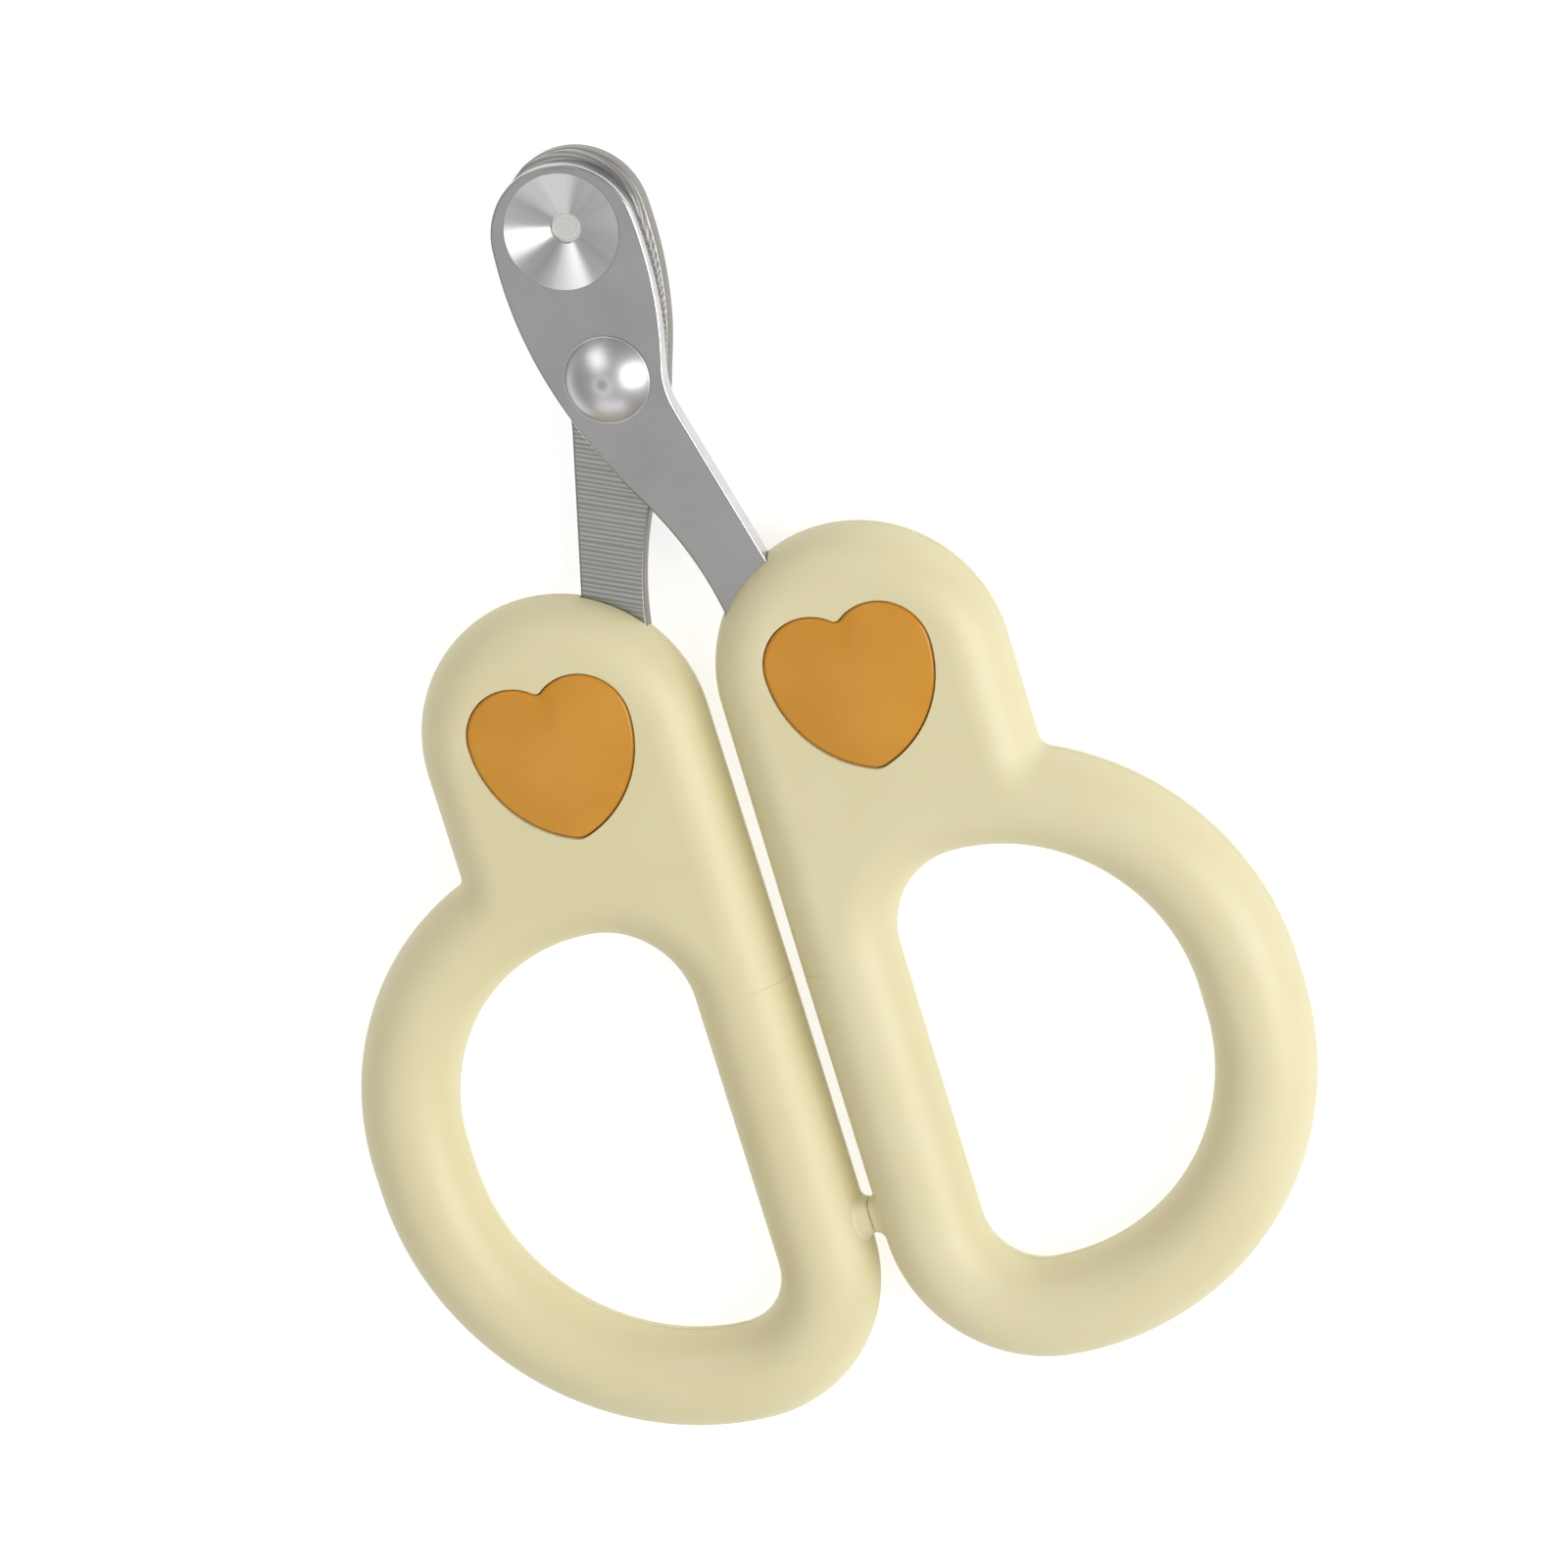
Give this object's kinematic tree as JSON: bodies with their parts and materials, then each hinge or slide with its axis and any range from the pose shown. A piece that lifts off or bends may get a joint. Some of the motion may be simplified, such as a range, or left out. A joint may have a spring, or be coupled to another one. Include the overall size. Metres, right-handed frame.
{
  "type": "cat claw scissors",
  "caption": "Scissor-type pet claw trimmer with a countersunk guide hole in its front blade, a riveted pivot, looped finger handles and heart-shaped plugs.",
  "frame": {"origin": "under the middle of the closed trimmer lying on its back, on the plane it rests on", "axes": "+X towards the right-hand finger loop, +Y from the finger loops to the head, +Z out of the front face with the hearts"},
  "size_m": [0.0702, 0.093, 0.0074],
  "materials": {
    "satin_steel": "satin blasted stainless steel with polished edges and countersink",
    "ground_steel": "stainless steel ground across its length",
    "polished_steel": "polished",
    "cream_plastic": "satin moulded plastic",
    "amber_plastic": "smooth moulded plastic",
    "screw_steel": "zinc plated"
  },
  "bodies": {
    "left_half": {"rear_blade": "ground_steel", "pivot_rivet": "polished_steel", "pivot_washer": "polished_steel", "left_front_shell": "cream_plastic", "left_back_shell": "cream_plastic", "left_heart": "amber_plastic", "left_tang_screw": "screw_steel"},
    "right_half": {"front_blade": "satin_steel", "right_front_shell": "cream_plastic", "right_back_shell": "cream_plastic", "right_heart": "amber_plastic", "right_tang_screw": "screw_steel"}
  },
  "joints": [
    {"name": "blade_pivot", "type": "hinge", "parent": "left_half", "child": "right_half", "pos_m": [0, 0.03024, 0.0035], "axis": [0, 0, 1], "range_deg": [0, 90]}
  ]
}
